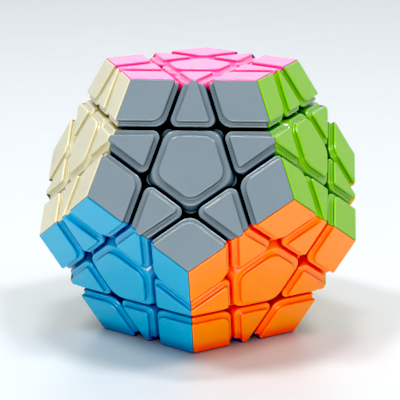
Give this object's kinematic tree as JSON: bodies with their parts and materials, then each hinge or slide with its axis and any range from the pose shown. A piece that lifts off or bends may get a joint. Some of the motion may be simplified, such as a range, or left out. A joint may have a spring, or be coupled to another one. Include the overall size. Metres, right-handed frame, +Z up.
{
  "type": "dodecahedron twisty puzzle",
  "caption": "Face-turning dodecahedron puzzle: stepped glossy plastic tiles, one colour per face, on a black sprung inner mechanism.",
  "frame": {"origin": "centre of the purple face that the puzzle rests on", "axes": "+Z up through the purple and pink faces; -Y is the side that the grey face looks towards; +X to the right of the grey face"},
  "size_m": [0.0982, 0.1032, 0.084],
  "materials": {
    "pink_plastic": "satin moulded ABS, coloured right through",
    "gray_plastic": "satin moulded ABS, coloured right through",
    "lime_plastic": "satin moulded ABS, coloured right through",
    "dark_blue_plastic": "satin moulded ABS, coloured right through",
    "red_plastic": "satin moulded ABS, coloured right through",
    "cream_plastic": "satin moulded ABS, coloured right through",
    "orange_plastic": "satin moulded ABS, coloured right through",
    "yellow_plastic": "satin moulded ABS, coloured right through",
    "white_plastic": "satin moulded ABS, coloured right through",
    "dark_green_plastic": "satin moulded ABS, coloured right through",
    "light_blue_plastic": "satin moulded ABS, coloured right through",
    "purple_plastic": "satin moulded ABS, coloured right through",
    "black_plastic": "fine moulded black plastic",
    "steel": "bright zinc-plated steel"
  },
  "bodies": {
    "root": {"core": "black_plastic", "screws": "steel", "springs": "steel", "washers": "steel", "center_bases": "black_plastic", "edge_feet": "black_plastic", "corner_feet": "black_plastic", "gray_center_cap": "gray_plastic", "lime_center_cap": "lime_plastic", "dark_blue_center_cap": "dark_blue_plastic", "red_center_cap": "red_plastic", "cream_center_cap": "cream_plastic", "yellow_center_cap": "yellow_plastic", "white_center_cap": "white_plastic", "light_blue_center_cap": "light_blue_plastic", "purple_center_cap": "purple_plastic", "gray_fixed_tiles": "gray_plastic", "lime_fixed_tiles": "lime_plastic", "dark_blue_fixed_tiles": "dark_blue_plastic", "red_fixed_tiles": "red_plastic", "cream_fixed_tiles": "cream_plastic", "yellow_fixed_tiles": "yellow_plastic", "white_fixed_tiles": "white_plastic", "light_blue_fixed_tiles": "light_blue_plastic", "purple_fixed_tiles": "purple_plastic"},
    "pink_layer": {"pink_center_cap": "pink_plastic", "pink_layer_center_bases": "black_plastic", "pink_layer_edge_tiles": "pink_plastic", "pink_layer_corner_tiles": "pink_plastic", "pink_layer_gray_tiles": "gray_plastic", "pink_layer_lime_tiles": "lime_plastic", "pink_layer_dark_blue_tiles": "dark_blue_plastic", "pink_layer_red_tiles": "red_plastic", "pink_layer_cream_tiles": "cream_plastic", "pink_layer_edge_feet": "black_plastic", "pink_layer_corner_feet": "black_plastic"},
    "orange_layer": {"orange_center_cap": "orange_plastic", "orange_layer_center_bases": "black_plastic", "orange_layer_edge_tiles": "orange_plastic", "orange_layer_corner_tiles": "orange_plastic", "orange_layer_gray_tiles": "gray_plastic", "orange_layer_lime_tiles": "lime_plastic", "orange_layer_yellow_tiles": "yellow_plastic", "orange_layer_purple_tiles": "purple_plastic", "orange_layer_light_blue_tiles": "light_blue_plastic", "orange_layer_edge_feet": "black_plastic", "orange_layer_corner_feet": "black_plastic"},
    "dark_green_layer": {"dark_green_center_cap": "dark_green_plastic", "dark_green_layer_center_bases": "black_plastic", "dark_green_layer_edge_tiles": "dark_green_plastic", "dark_green_layer_corner_tiles": "dark_green_plastic", "dark_green_layer_light_blue_tiles": "light_blue_plastic", "dark_green_layer_cream_tiles": "cream_plastic", "dark_green_layer_red_tiles": "red_plastic", "dark_green_layer_white_tiles": "white_plastic", "dark_green_layer_purple_tiles": "purple_plastic", "dark_green_layer_edge_feet": "black_plastic", "dark_green_layer_corner_feet": "black_plastic"}
  },
  "joints": [
    {"name": "pink_layer_turn", "type": "hinge", "parent": "root", "child": "pink_layer", "pos_m": [0, 0, 0.042], "axis": [0, 0, 1], "continuous": true},
    {"name": "orange_layer_turn", "type": "hinge", "parent": "root", "child": "orange_layer", "pos_m": [0, 0, 0.042], "axis": [0.5257, -0.7236, -0.4472], "continuous": true},
    {"name": "dark_green_layer_turn", "type": "hinge", "parent": "root", "child": "dark_green_layer", "pos_m": [0, 0, 0.042], "axis": [-0.8507, 0.2764, -0.4472], "continuous": true}
  ]
}
